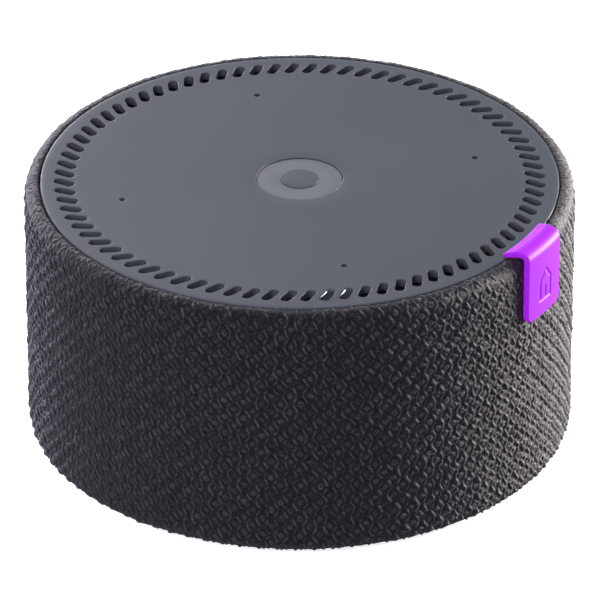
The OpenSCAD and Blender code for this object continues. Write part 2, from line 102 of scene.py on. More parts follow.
def roundedPath(corners, radii, steps=6):
    # each corner of the path becomes an arc of its own radius; the arc is a turn about the centre that
    # lies on the bisector, so its points are centre + radius * (cos, sin) between the two tangent points
    out = []
    count = len(corners)
    for k in range(count):
        corner, radius = np.array(corners[k], float), radii[k]
        if radius == 0:
            out.append(corner)
            continue
        before = np.array(corners[k - 1], float) - corner
        after = np.array(corners[(k + 1) % count], float) - corner
        before, after = before / np.hypot(*before), after / np.hypot(*after)
        half = math.acos(np.clip(before @ after, -1, 1)) / 2
        reach = radius / math.tan(half)
        bisector = (before + after) / np.hypot(*(before + after))
        centre = corner + bisector * radius / math.sin(half)
        first, last = corner + before * reach - centre, corner + after * reach - centre
        a0, a1 = math.atan2(first[1], first[0]), math.atan2(last[1], last[0])
        sweep = (a1 - a0 + math.pi) % (2 * math.pi) - math.pi
        turn = a0 + sweep * np.linspace(0, 1, steps + 1)
        out.extend(centre + radius * np.stack([np.cos(turn), np.sin(turn)], -1))
    return np.array(out)


def capped(name, profile, columns=240, sharp=35):
    # an open profile whose two ends close with a point on the axis: revolved rings and two fans
    angle = np.arange(columns) * 2 * math.pi / columns
    radius, height = profile[:, 0][:, None], profile[:, 1][:, None]
    points = np.stack(np.broadcast_arrays(radius * np.cos(angle), radius * np.sin(angle), height), -1)
    points = points.reshape(-1, 3)
    last = len(points) - columns
    poles = np.array([[0, 0, profile[0, 1]], [0, 0, profile[-1, 1]]])
    ring = np.arange(columns)
    turned = (ring + 1) % columns
    lowFan = np.stack([np.full(columns, len(points)), turned, ring], -1)
    highFan = np.stack([np.full(columns, len(points) + 1), last + ring, last + turned], -1)
    faces = gridFaces(len(profile), columns, closeColumns=True)
    return makeMesh(name, np.vstack([points, poles]), [faces, lowFan, highFan], sharp=sharp)


def weld(piece, distance, sharp):
    # joins points that share a place and turns every face outwards
    work = bmesh.new()
    work.from_mesh(piece.data)
    bmesh.ops.remove_doubles(work, verts=work.verts, dist=distance)
    bmesh.ops.recalc_face_normals(work, faces=work.faces)
    work.to_mesh(piece.data)
    work.free()
    piece.data.set_sharp_from_angle(angle=math.radians(sharp))


def spin(points, angle):
    # turns plan points by an angle about the z axis
    c, s = np.cos(angle), np.sin(angle)
    return np.stack([points[..., 0] * c - points[..., 1] * s, points[..., 0] * s + points[..., 1] * c], -1)


def smoothStep(values, low, high):
    # 0 below low, 1 above high and 3 t^2 - 2 t^3 between them
    t = np.clip((values - low) / (high - low), 0, 1)
    return t * t * (3 - 2 * t)


# ---------- materials ----------

def newGroup(name, inputs, outputs):
    tree = bpy.data.node_groups.new(name, "ShaderNodeTree")
    for label, kind, value in inputs:
        socket = tree.interface.new_socket(name=label, in_out="INPUT", socket_type=kind)
        if value is not None:
            socket.default_value = value
    for label, kind in outputs:
        tree.interface.new_socket(name=label, in_out="OUTPUT", socket_type=kind)
    return tree, tree.nodes.new("NodeGroupInput"), tree.nodes.new("NodeGroupOutput")


def feed(tree, socket, value):
    # a socket takes either a link from another node or a plain value
    if isinstance(value, bpy.types.NodeSocket):
        tree.links.new(value, socket)
    else:
        socket.default_value = value


def addNode(tree, kind, settings=None, **links):
    # links name the node's inputs, with underscores for spaces
    node = tree.nodes.new(kind)
    for key, value in (settings or {}).items():
        setattr(node, key, value)
    for key, value in links.items():
        feed(tree, node.inputs[key.replace("_", " ")], value)
    return node


def mathNode(tree, operation, a, b=None, c=None):
    node = addNode(tree, "ShaderNodeMath", {"operation": operation})
    for socket, value in zip(node.inputs, (a, b, c)):
        if value is not None:
            feed(tree, socket, value)
    return node.outputs[0]


def mixColor(tree, factor, a, b, blend="MIX"):
    # the factor and the two colours are the node's sockets 0, 6 and 7, and its colour comes out at 2
    node = addNode(tree, "ShaderNodeMix", {"data_type": "RGBA", "blend_type": blend})
    for number, value in ((0, factor), (6, a), (7, b)):
        feed(tree, node.inputs[number], value)
    return node.outputs[2]


def rgba(color):
    return (*color, 1.0)


def buildGrainGroup():
    # the fine eroded skin of moulded plastic, with a slow cloud of handling shade over it
    tree, given, out = newGroup(
        "mouldedGrain",
        [("Grain Scale", "NodeSocketFloat", 9000.0), ("Cloud Scale", "NodeSocketFloat", 60.0),
         ("Tint Amount", "NodeSocketFloat", 0.06), ("Base", "NodeSocketColor", (0.2, 0.2, 0.2, 1))],
        [("Color", "NodeSocketColor"), ("Height", "NodeSocketFloat"), ("Rough Shift", "NodeSocketFloat")],
    )
    place = addNode(tree, "ShaderNodeTexCoord").outputs["Object"]
    grain = addNode(tree, "ShaderNodeTexNoise", Vector=place, Scale=given.outputs["Grain Scale"], Detail=3.0)
    cloud = addNode(tree, "ShaderNodeTexNoise", Vector=place, Scale=given.outputs["Cloud Scale"], Detail=4.0)
    pits = addNode(tree, "ShaderNodeTexVoronoi", Vector=place, Scale=given.outputs["Grain Scale"])
    height = mathNode(tree, "MULTIPLY_ADD", grain.outputs["Fac"], 0.6, pits.outputs["Distance"])
    light = mathNode(tree, "MULTIPLY_ADD", cloud.outputs["Fac"], given.outputs["Tint Amount"], 1.0)
    shade = mathNode(tree, "SUBTRACT", light, mathNode(tree, "MULTIPLY", given.outputs["Tint Amount"], 0.5))
    gain = addNode(tree, "ShaderNodeCombineColor", Red=shade, Green=shade, Blue=shade)
    color = mixColor(tree, 1.0, given.outputs["Base"], gain.outputs[0], "MULTIPLY")
    shift = mathNode(tree, "MULTIPLY_ADD", cloud.outputs["Fac"], 0.12, -0.06)
    tree.links.new(color, out.inputs["Color"])
    tree.links.new(height, out.inputs["Height"])
    tree.links.new(shift, out.inputs["Rough Shift"])
    return tree


def buildSpeckGroup():
    # a few pale specks of lint and dust, as a mask
    tree, given, out = newGroup(
        "dustSpecks",
        [("Scale", "NodeSocketFloat", 700.0), ("Amount", "NodeSocketFloat", 0.03)],
        [("Mask", "NodeSocketFloat")],
    )
    place = addNode(tree, "ShaderNodeTexCoord").outputs["Object"]
    cells = addNode(tree, "ShaderNodeTexVoronoi", Vector=place, Scale=given.outputs["Scale"])
    chance = addNode(tree, "ShaderNodeSeparateColor", Color=cells.outputs["Color"])
    near = mathNode(tree, "LESS_THAN", cells.outputs["Distance"], 0.12)
    few = mathNode(tree, "LESS_THAN", chance.outputs[0], given.outputs["Amount"])
    tree.links.new(mathNode(tree, "MULTIPLY", near, few), out.inputs["Mask"])
    return tree


def buildYarnGroup():
    # spun yarn on cloth: melange colour from cell to cell, fibres laid along the rows, and painted shade that
    # darkens the yarn where the relief is low and paints the hollows near black
    tree, given, out = newGroup(
        "spunYarn",
        [("Dark", "NodeSocketColor", (0.01, 0.01, 0.01, 1)),
         ("Light", "NodeSocketColor", (0.06, 0.06, 0.06, 1)),
         ("Fibre Scale", "NodeSocketFloat", 14.0), ("Hollow", "NodeSocketFloat", 0.5)],
        [("Color", "NodeSocketColor"), ("Height", "NodeSocketFloat")],
    )
    place = addNode(tree, "ShaderNodeTexCoord").outputs["UV"]
    relief = addNode(tree, "ShaderNodeAttribute", {"attribute_name": "relief"}).outputs["Fac"]
    tint = addNode(tree, "ShaderNodeAttribute", {"attribute_name": "tint"}).outputs["Fac"]
    stretched = addNode(tree, "ShaderNodeMapping", Vector=place, Scale=(2.2, 1.0, 1.0))
    fibres = addNode(tree, "ShaderNodeTexNoise", Vector=stretched.outputs[0],
                     Scale=given.outputs["Fibre Scale"], Detail=5.0, Roughness=0.65, Distortion=0.6)
    plies = addNode(tree, "ShaderNodeTexNoise", Vector=place, Scale=7.0, Detail=3.0, Distortion=1.4)
    spun = mathNode(tree, "MULTIPLY_ADD", fibres.outputs["Fac"], 0.9, 0.45)
    # painted shade: the yarn is darker where the relief is low, times the real fibre variation
    reliefShadeAndFibres = mathNode(tree, "MULTIPLY", mathNode(tree, "POWER", relief, 1.3), spun)
    mixed = mathNode(tree, "MULTIPLY", reliefShadeAndFibres, mathNode(tree, "MULTIPLY_ADD", tint, 0.6, 0.7))
    color = mixColor(tree, mixed, given.outputs["Dark"], given.outputs["Light"])
    # painted shade: the hollows are painted near black
    hollowShade = mathNode(tree, "MULTIPLY", mathNode(tree, "SUBTRACT", 1.0, relief), given.outputs["Hollow"])
    color = mixColor(tree, hollowShade, color, (0.002, 0.002, 0.0025, 1.0))
    height = mathNode(tree, "MULTIPLY_ADD", plies.outputs["Fac"], 0.5, fibres.outputs["Fac"])
    tree.links.new(color, out.inputs["Color"])
    tree.links.new(height, out.inputs["Height"])
    return tree


grainGroup, speckGroup, yarnGroup = buildGrainGroup(), buildSpeckGroup(), buildYarnGroup()


def newMaterial(name):
    material = bpy.data.materials.new(name)
    material.use_nodes = True
    tree = material.node_tree
    shader = tree.nodes["Principled BSDF"]
    return material, tree, shader


def useGroup(tree, group, **values):
    return addNode(tree, "ShaderNodeGroup", {"node_tree": group}, **values)


def addBump(tree, shader, height, strength, distance):
    bump = addNode(tree, "ShaderNodeBump", Height=height, Strength=strength, Distance=distance)
    tree.links.new(bump.outputs["Normal"], shader.inputs["Normal"])


def shadeHoles(tree, surface, color, paintedWallLight):
    # the walls of a hole are painted paler than the face as painted light, and their lowest part is painted
    # black as painted shadow
    place = addNode(tree, "ShaderNodeTexCoord").outputs["Object"]
    height = addNode(tree, "ShaderNodeSeparateXYZ", Vector=place).outputs["Z"]
    wall = [c * paintedWallLight for c in color]
    shadow = (0.002, 0.002, 0.002)
    for start, full, shade in ((0.15 * mm, 0.75 * mm, wall), (1.40 * mm, 1.46 * mm, shadow)):
        depth = addNode(tree, "ShaderNodeMapRange", Value=height,
                        From_Min=plateTop - start, From_Max=plateTop - full)
        surface = mixColor(tree, depth.outputs["Result"], surface, rgba(shade))
    return surface


def mouldedPlastic(name, color, roughness=0.5, grain=0.25, grainScale=9000.0, cloudScale=60.0, tint=0.06,
                   dust=0.0, paintedWallLight=None, metallic=0.0, coat=0.0, specular=0.5, paintedGlow=(0.0, 0.0, 0.0)):
    # one recipe for every moulded, painted or plated part; the values set how it looks
    material, tree, shader = newMaterial(name)
    grained = useGroup(tree, grainGroup, Base=rgba(color), Grain_Scale=grainScale,
                       Cloud_Scale=cloudScale, Tint_Amount=tint)
    surface = grained.outputs["Color"]
    # painted light on the hole walls, and painted shadow at their bottoms
    if paintedWallLight:
        surface = shadeHoles(tree, surface, color, paintedWallLight)
    if dust:
        specks = useGroup(tree, speckGroup, Amount=dust)
        pale = rgba([min(1.0, c * 1.6 + 0.03) for c in color])
        surface = mixColor(tree, specks.outputs["Mask"], surface, pale)
    tree.links.new(surface, shader.inputs["Base Color"])
    rough = mathNode(tree, "ADD", grained.outputs["Rough Shift"], roughness)
    tree.links.new(rough, shader.inputs["Roughness"])
    addBump(tree, shader, grained.outputs["Height"], grain, 0.00002)
    shader.inputs["Metallic"].default_value = metallic
    shader.inputs["Coat Weight"].default_value = coat
    shader.inputs["Coat Roughness"].default_value = 0.08
    shader.inputs["Specular IOR Level"].default_value = specular
    # the emission here is painted light: it lifts the part's shaded sides, though the part is no lamp
    shader.inputs["Emission Color"].default_value = rgba(paintedGlow)
    shader.inputs["Emission Strength"].default_value = 1.0 if any(paintedGlow) else 0.0
    return material


def knitMaterial(name, dark, light, fibreScale=5.5, hollowShade=0.9):
    material, tree, shader = newMaterial(name)
    yarn = useGroup(tree, yarnGroup, Dark=rgba(dark), Light=rgba(light), Fibre_Scale=fibreScale,
                    Hollow=hollowShade)
    tree.links.new(yarn.outputs["Color"], shader.inputs["Base Color"])
    addBump(tree, shader, yarn.outputs["Height"], 1.0, 0.00022)
    shader.inputs["Roughness"].default_value = 0.55
    shader.inputs["Specular IOR Level"].default_value = 0.55
    shader.inputs["Sheen Weight"].default_value = 0.18
    shader.inputs["Sheen Roughness"].default_value = 0.45
    shader.inputs["Sheen Tint"].default_value = (0.75, 0.72, 0.75, 1.0)
    return material


finishes = {
    # the plate's slot walls get painted light, and their bottoms painted shadow
    "plate_grey": dict(color=(0.0664, 0.0730, 0.0850), roughness=0.42, grain=0.10, tint=0.05, dust=0.004,
                       specular=0.2, paintedWallLight=1.1),
    "key_grey": dict(color=(0.122, 0.130, 0.139), roughness=0.40, grain=0.10, tint=0.04, specular=0.3),
    "window_gloss": dict(color=(0.006, 0.006, 0.014), roughness=0.10, grain=0.0, coat=0.6, specular=0.5),
    # the tag's emission is painted light that brightens its shaded sides
    "tag_purple": dict(color=(0.19, 0.006, 0.58), roughness=0.52, grain=0.10, tint=0.03, specular=0.25,
                       paintedGlow=(0.20, 0.012, 0.25)),
    "black_plastic": dict(color=(0.014, 0.014, 0.016), roughness=0.55, grain=0.35, grainScale=5000.0,
                          dust=0.01),
    "foot_rubber": dict(color=(0.018, 0.018, 0.018), roughness=0.78, grain=0.40, grainScale=3500.0,
                        dust=0.04),
    "seal_foam": dict(color=(0.020, 0.020, 0.021), roughness=0.92, grain=0.60, grainScale=2500.0),
    "mesh_black": dict(color=(0.006, 0.006, 0.007), roughness=0.85, grain=0.60, grainScale=4000.0),
    "board_green": dict(color=(0.010, 0.070, 0.035), roughness=0.32, grain=0.15, tint=0.20, cloudScale=300.0),
    "chip_black": dict(color=(0.016, 0.016, 0.017), roughness=0.50, grain=0.25, grainScale=7000.0),
    "white_plastic": dict(color=(0.72, 0.71, 0.67), roughness=0.45, grain=0.15, tint=0.05),
    "slider_grey": dict(color=(0.075, 0.075, 0.082), roughness=0.45, grain=0.20, tint=0.05),
    "bright_steel": dict(color=(0.62, 0.62, 0.63), roughness=0.28, grain=0.12, metallic=1.0, tint=0.10),
    "dark_steel": dict(color=(0.050, 0.050, 0.056), roughness=0.48, grain=0.30, tint=0.08),
    "magnet_dark": dict(color=(0.060, 0.060, 0.062), roughness=0.60, grain=0.50, metallic=0.6, tint=0.15),
    "coil_copper": dict(color=(0.62, 0.27, 0.10), roughness=0.30, grain=0.30, metallic=1.0, tint=0.10),
    "cone_paper": dict(color=(0.022, 0.022, 0.024), roughness=0.80, grain=0.60, grainScale=2500.0, tint=0.20),
    "spider_cloth": dict(color=(0.42, 0.30, 0.08), roughness=0.75, grain=0.60, grainScale=2500.0, tint=0.20),
    "roll_rubber": dict(color=(0.014, 0.014, 0.014), roughness=0.45, grain=0.15),
    "lead_plastic": dict(color=(0.30, 0.02, 0.02), roughness=0.40, grain=0.10),
}
materials = {slot: mouldedPlastic(slot, **values) for slot, values in finishes.items()}
materials["knit_charcoal"] = knitMaterial("knit_charcoal", (0.010, 0.009, 0.018), (0.098, 0.087, 0.102))
print("materials:", len(materials))

slotOfNode = {row["node"]: row["material_slot"] for row in frame["record"]["subparts"]}
for node, piece in frame["nodes"].items():
    piece.data.materials.clear()
    piece.data.materials.append(materials[slotOfNode[node]])


def dress(piece, slot, body, *nodes):
    piece.data.materials.append(materials[slot])
    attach(piece, body)
    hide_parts(*nodes)
    return piece


# ---------- knitted sleeve ----------

knit = {
    "repeats": 92,            # repeats of the pattern round the sleeve
    "panels": 8,              # the sleeve is meshed in this many stretches
    "rowPitch": 1.52 * mm,    # height of one staggered row
    "pitch": 3.05 * mm,       # width of one repeat
    "swing": 0.085,           # how far a thread sways to each side, in repeats
    "threadWidth": 0.066,     # half the width of a thread, in repeats
    "samples": 22,            # grid points across one repeat
    "wander": 0.035,          # how far the rows stray from their places
    "relief": 0.40 * mm,      # height of the yarn over the hollows
    "lowRound": 2.2 * mm,
    "topRound": 1.9 * mm,
    "innerRound": 0.3 * mm,
    "hemLow": 43.28 * mm,     # radius where the lower hem ends
    "hemTop": 42.50 * mm,     # radius of the top hem beside the plate
    "tuckDepth": 1.5 * mm,
    "hemFold": 0.7 * mm,      # how far the top hem turns back
    "foldTop": 0.82 * mm,     # how far under the crown, and over the lower edge, the hems lie
    "foldLow": 0.92 * mm,
    "foldRadius": 0.86 * mm,  # how far inside the face the folds end
    "portWidth": 30.4 * mm,
    "portCorner": 2.4 * mm,
    "portGap": 0.22 * mm,
}


def sleevePath():
    # the sleeve's half section as (radius, height) with the distance along it: lower hem, arc, straight
    # side, arc over the rim, and the turn down beside the plate; the side starts at distance 0
    step = knit["rowPitch"] * 2 / knit["samples"]
    outer = sleeveRadius - knit["relief"] * 0.45
    lowR, topR = knit["lowRound"], knit["topRound"]
    lowArc = np.arccos((knit["hemLow"] - outer + lowR) / lowR)
    lowLength, topLength = lowR * lowArc, topR * math.pi / 2
    sideLow, sideHigh = sleeveLow + lowR + knit["relief"] * 0.5, sleeveTop - topR - knit["relief"] * 0.45
    sideLength = sideHigh - sideLow
    innerRound = knit["innerRound"]
    flatLength = outer - topR - knit["hemTop"] - innerRound
    turnLength = innerRound * math.pi / 2
    total = sideLength + topLength + flatLength + turnLength + knit["tuckDepth"]
    s = np.arange(-int(lowLength / step), int(total / step) + 1) * step
    top = s - sideLength
    flat = top - topLength
    turn = flat - flatLength
    tuck = turn - turnLength
    lowAngle = s / lowR
    topAngle = top / topR
    turnAngle = np.clip(turn / innerRound, 0, math.pi / 2)
    crown = sideHigh + topR
    conditions = [s < 0, top < 0, flat < 0, turn < 0, tuck < 0]
    radius = np.select(conditions, [
        outer - lowR + lowR * np.cos(lowAngle), np.full_like(s, outer),
        outer - topR + topR * np.cos(topAngle), outer - topR - flat,
        knit["hemTop"] + innerRound - innerRound * np.sin(turnAngle)], knit["hemTop"])
    height = np.select(conditions, [
        sideLow + lowR * np.sin(lowAngle), sideLow + s, sideHigh + topR * np.sin(topAngle),
        np.full_like(s, crown), crown - innerRound + innerRound * np.cos(turnAngle)],
        crown - innerRound - tuck)
    along = np.stack([np.gradient(radius), np.gradient(height)], -1)
    along /= np.linalg.norm(along, axis=1, keepdims=True)
    return s, radius, height, np.stack([along[:, 1], -along[:, 0]], -1)


def slowNoise(u, v, seed, waves=9):
    # a sum of sines with whole numbers of waves round the sleeve, so that it closes on itself
    chance = np.random.default_rng(seed)
    total = np.zeros(np.broadcast(u, v).shape)
    for _ in range(waves):
        around, up = chance.integers(2, 46), chance.uniform(-0.9, 0.9)
        total += np.sin(2 * math.pi * around * u / knit["repeats"] + up * v + chance.uniform(0, 6.3))
    return total / math.sqrt(waves)


def cellChance(column, row, seed):
    # a repeatable value from 0 to 1 for each cell: the fractional part of a large sine
    mixed = np.sin(column * 12.9898 + row * 78.233 + seed * 37.719) * 43758.5453
    return mixed - np.floor(mixed)


def valueNoise(a, b, seed, period):
    # random values on a whole-number lattice, blended with smooth steps; it repeats after period in a
    lowA, lowB = np.floor(a), np.floor(b)
    partA, partB = smoothStep(a - lowA, 0, 1), smoothStep(b - lowB, 0, 1)

    def corner(i, j):
        return cellChance((lowA + i) % period, lowB + j, seed)

    front = corner(0, 0) * (1 - partA) + corner(1, 0) * partA
    back = corner(0, 1) * (1 - partA) + corner(1, 1) * partA
    return front * (1 - partB) + back * partB - 0.5


def knitRelief(u, v):
    # u counts repeats round the sleeve and v counts rows. Upright threads stand half a repeat apart at
    # x = k / 2 + 1 / 4 and swing by swing * cos(pi v), neighbours in opposite senses, so they open into
    # staggered cups and close between them. A thread is a tube, sqrt(1 - (dx / width)^2), and each cup
    # holds a small knot: a ring round a hole
    repeats, threads = knit["repeats"], 2 * knit["repeats"]
    uShift = u + knit["wander"] * slowNoise(u, v, 3) + 0.06 * valueNoise(u * 2, v * 1.5, 21, threads)
    vShift = v + 2.0 * knit["wander"] * slowNoise(u, v, 4) + 0.22 * valueNoise(u * 2, v * 1.5, 22, threads)
    number = np.floor(2 * uShift)
    side = 1 - 2 * (number % 2)
    leg = np.floor(vShift)
    which = number % threads
    swing = knit["swing"] * (1 + 0.5 * (cellChance(which, leg, 1) - 0.5))
    phase = np.cos(math.pi * vShift)
    middle = (number + 0.5) / 2 + side * swing * np.sign(phase) * np.abs(phase) ** 0.7
    width = knit["threadWidth"] * (1 + 0.25 * (cellChance(which, leg, 2) - 0.5))
    across = (uShift - middle) / width
    tube = np.sqrt(np.clip(1 - across ** 2, 0, 1))
    legShift = vShift - leg - 0.5
    falling = side * (1 - 2 * (leg % 2))  # 1 where the leg leans to the left as it rises
    rise = 0.62 + 0.22 * falling + 0.30 * np.cos(2 * math.pi * legShift)
    rise += 0.44 * (cellChance(which, leg, 5) - 0.5)
    thread = tube * rise
    # the cups: whole rows hold them at whole repeats, the next rows half a repeat on
    row = np.round(vShift)
    offset = 0.5 * (row % 2)
    column = np.round(uShift - offset)
    x, y = uShift - offset - column, (vShift - row) * knit["rowPitch"] / knit["pitch"]
    reach = np.hypot(x, y)
    chance = cellChance(column % repeats, row, 6)
    ring = (0.25 + 0.40 * chance) * np.exp(-((reach - 0.085) / 0.035) ** 2)
    hump = 0.30 * np.exp(-(reach / 0.20) ** 2)
    hole = 0.30 * np.exp(-(reach / 0.04) ** 2)
    height = np.maximum(thread, ring + hump + 0.06) - hole
    height += 0.26 * valueNoise(u * 5 + 2 * v, v * 3, 23, 5 * repeats)
    height += 0.36 * valueNoise(u * 9 + 2 * v, v * 4, 24, 9 * repeats)
    tint = 0.5 * cellChance(which, leg, 7) + 0.5 * chance
    return np.clip(height + 0.08, 0, 1.3), tint


def portDistance(x, z):
    # how far outside the port opening's rounded outline a point lies, negative inside it, and the way
    # out across the nearest edge
    low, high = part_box("port_panel")
    halfWide = knit["portWidth"] / 2 + knit["portGap"]
    halfTall, middle = (high.z - low.z) / 2 + knit["portGap"], (high.z + low.z) / 2
    corner = knit["portCorner"]
    qx, qz = np.abs(x) - halfWide + corner, np.abs(z - middle) - halfTall + corner
    cornerX, cornerZ = np.maximum(qx, 0), np.maximum(qz, 0)
    outside = np.hypot(cornerX, cornerZ)
    away = outside + np.minimum(np.maximum(qx, qz), 0) - corner
    length = np.maximum(outside, 1e-9)
    wayX = np.where(outside > 0, cornerX / length, (qx > qz).astype(float)) * np.sign(x)
    wayZ = np.where(outside > 0, cornerZ / length, (qx <= qz).astype(float)) * np.sign(z - middle)
    return away, wayX, wayZ


def cutPorts(points, faces, outerCount):
    # faces inside the opening for the ports go and its edge is drawn onto the outline; the knit round it,
    # the first outerCount points, dips in by depth * e^(-distance / reach)
    depth, reach = 0.5 * mm, 0.35 * mm
    away, wayX, wayZ = portDistance(points[:, 0], points[:, 2])
    away = np.where(points[:, 1] > 0, away, 1.0)
    edge = (away < 0) & (away > -0.6 * mm)
    points[edge, 0] -= (away * wayX)[edge]
    points[edge, 2] -= (away * wayZ)[edge]
    dip = depth * np.exp(-np.maximum(away, 0) / reach)
    dip[outerCount:] = 0
    points[:, :2] *= (1 - dip / np.hypot(points[:, 0], points[:, 1]))[:, None]
    return faces[(away[faces] > 0).any(axis=1)]


def buildPanel(number, u, section, folds):
    # one stretch of the sleeve: the section swept along u with the yarn's relief, then the folded hems
    s, radius, height, normal = section
    uGrid, sGrid = np.meshgrid(u, s)
    vGrid = sGrid / knit["rowPitch"]
    relief, tint = knitRelief(uGrid, vGrid)
    tight = smoothStep(np.minimum(sGrid - s[0], s[-1] - sGrid), 0, 1.2 * mm)  # the hems are pressed flat
    crown = smoothStep(height[:, None], sleeveTop - 3.0 * mm, sleeveTop - 0.8 * mm)
    fuzz = valueNoise(uGrid * 10, vGrid * 5, 25, 10 * knit["repeats"])
    relief = relief * (1 - 0.25 * crown) + 0.45 * crown * fuzz
    lift = knit["relief"] * (relief - 0.55) * (0.35 + 0.65 * tight) * (1 - 0.55 * crown)
    lift += 0.05 * mm * slowNoise(uGrid, vGrid, 8)
    foldShape = (len(folds), len(u))
    ringR = np.vstack([radius[:, None] + lift * normal[:, :1], np.broadcast_to(folds[:, :1], foldShape)])
    ringZ = np.vstack([height[:, None] + lift * normal[:, 1:], np.broadcast_to(folds[:, 1:], foldShape)])
    angle = 2 * math.pi * u / knit["repeats"]
    points = np.stack([ringR * np.cos(angle), ringR * np.sin(angle), ringZ], -1).reshape(-1, 3)

    # the two hems join the knit's ends, and the long side between them stays open
    faces = gridFaces(len(s) + len(folds), len(u), closeRows=True)
    row = faces // len(u)
    between = (row == len(s) + 2).any(axis=1) & (row == len(s) + 3).any(axis=1)
    faces = cutPorts(points, faces[~between], len(s) * len(u))

    along = np.append(s, np.full(len(folds), s[-1])) / knit["rowPitch"]
    uv = np.stack(np.broadcast_arrays(u, along[:, None]), -1).reshape(-1, 2)
    plain = np.zeros(foldShape)
    used = np.unique(faces)
    renumber = np.zeros(len(points), dtype=np.int64)
    renumber[used] = np.arange(len(used))
    fields = {"relief": np.vstack([np.clip(relief, 0, 1), plain]).ravel()[used],
              "tint": np.vstack([tint, plain]).ravel()[used]}
    return makeMesh(f"knitSleeve_{number}", points[used], [renumber[faces]], uv=uv[used],
                    fields=fields, sharp=0)


def buildSleeve():
    section = sleevePath()
    s, radius, height, normal = section
    inner = sleeveRadius - knit["foldRadius"]
    foldTop, foldLow = sleeveTop - knit["foldTop"], sleeveLow + knit["foldLow"]
    turned = knit["hemTop"] + knit["hemFold"]
    folds = np.array([[turned, height[-1]], [turned, foldTop], [inner, foldTop], [inner, foldLow],
                      [radius[0], foldLow]])
    perPanel = np.diff(np.arange(knit["panels"] + 1) * knit["repeats"] // knit["panels"])
    first = 0.25 * knit["repeats"] + 3  # the panels meet away from the middle of the ports
    pieces = []
    for number, count in enumerate(perPanel, 1):
        u = first + np.arange(count * knit["samples"] + 1) / knit["samples"]
        first += count
        piece = buildPanel(number, u, section, folds)
        pieces.append(dress(piece, "knit_charcoal", "base", "knit_sleeve"))
    return pieces


sleeve = buildSleeve()
print("sleeve:", sum(len(piece.data.polygons) for piece in sleeve), "faces")


# ---------- top plate ----------

plate = {
    "slots": 80,
    "slotRing": 38.4 * mm,
    "slotStart": math.radians(1.62),
    "slotLength": 3.7 * mm,
    "slotWidth": 1.65 * mm,
    "slotTilt": math.radians(30),
    "windows": (58, 59),
    "slotBevel": 0.11 * mm,
    "bandInner": 35.4 * mm,   # the ring of slots lies between these two circles
    "bandOuter": 41.2 * mm,
    "thickness": 1.6 * mm,
    "edgeRound": 0.30 * mm,
    "keyHole": 7.05 * mm,
    "keyBevel": 0.10 * mm,
    "micRing": 29.6 * mm,
    "micHole": 0.52 * mm,
    "micBevel": 0.06 * mm,
    "micTile": 1.5 * mm,      # half the width of the mesh tile round a microphone hole
    "arcSteps": 12,           # mesh steps along one slot's stretch of the circle
    "sideSteps": 14,
}


def roundLoop(direction, straight, radius):
    # where rays at these directions leave a bar of half length `straight` with round ends
    c, s = np.abs(np.cos(direction)), np.abs(np.sin(direction))
    side = radius / np.maximum(s, 1e-9)
    onSide = side * c <= straight
    end = straight * c + np.sqrt(np.maximum(radius ** 2 - (straight * s) ** 2, 0))
    reach = np.where(onSide, side, end)
    return np.stack([reach * np.cos(direction), reach * np.sin(direction)], -1)


def holeStack(bounds, centre, straight, radius, tilt, bevel, low, top):
    # rings from the underside up the hole's wall, round its bevel and out to the tile's edge, which is
    # bounds: each is the hole's outline grown by the bevel's offset, and the last ones are blended to bounds
    direction = np.arctan2(bounds[:, 1] - centre[1], bounds[:, 0] - centre[0]) - tilt

    def hole(grow):
        return centre + spin(roundLoop(direction, straight, radius + grow), tilt)

    rings, levels = [bounds, hole(0), hole(0)], [low, low, top - bevel]
    for turn in np.linspace(0, math.pi / 2, 4)[1:]:
        rings.append(hole(bevel * (1 - math.cos(turn))))
        levels.append(top - bevel * (1 - math.sin(turn)))
    for part in (0.22, 0.55, 1.0):
        rings.append(hole(bevel) * (1 - part) + bounds * part)
        levels.append(top)
    pairs = zip(rings, levels)
    return np.stack([np.column_stack([ring, np.full(len(ring), level)]) for ring, level in pairs])


def slotTile():
    # the plate round one slot: an arc inside, a slanted side, an arc outside and the other side
    step = 2 * math.pi / plate["slots"]
    inner, outer = plate["bandInner"], plate["bandOuter"]
    lean = -plate["slotTilt"]

    def slant(radius):
        # angle of the slanted line through the slot's centre at this radius
        return (radius - plate["slotRing"]) * math.tan(lean) / plate["slotRing"]

    def polar(radius, angle):
        return np.stack([radius * np.cos(angle), radius * np.sin(angle)], -1)

    arc = np.linspace(-0.5, 0.5, plate["arcSteps"] + 1) * step
    radii = np.linspace(inner, outer, plate["sideSteps"] + 1)
    return np.vstack([
        polar(np.full(len(arc), inner), arc + slant(inner))[:-1],
        polar(radii, slant(radii) + step / 2)[:-1],
        polar(np.full(len(arc), outer), arc[::-1] + slant(outer))[:-1],
        polar(radii[::-1], slant(radii[::-1]) - step / 2)[:-1]])


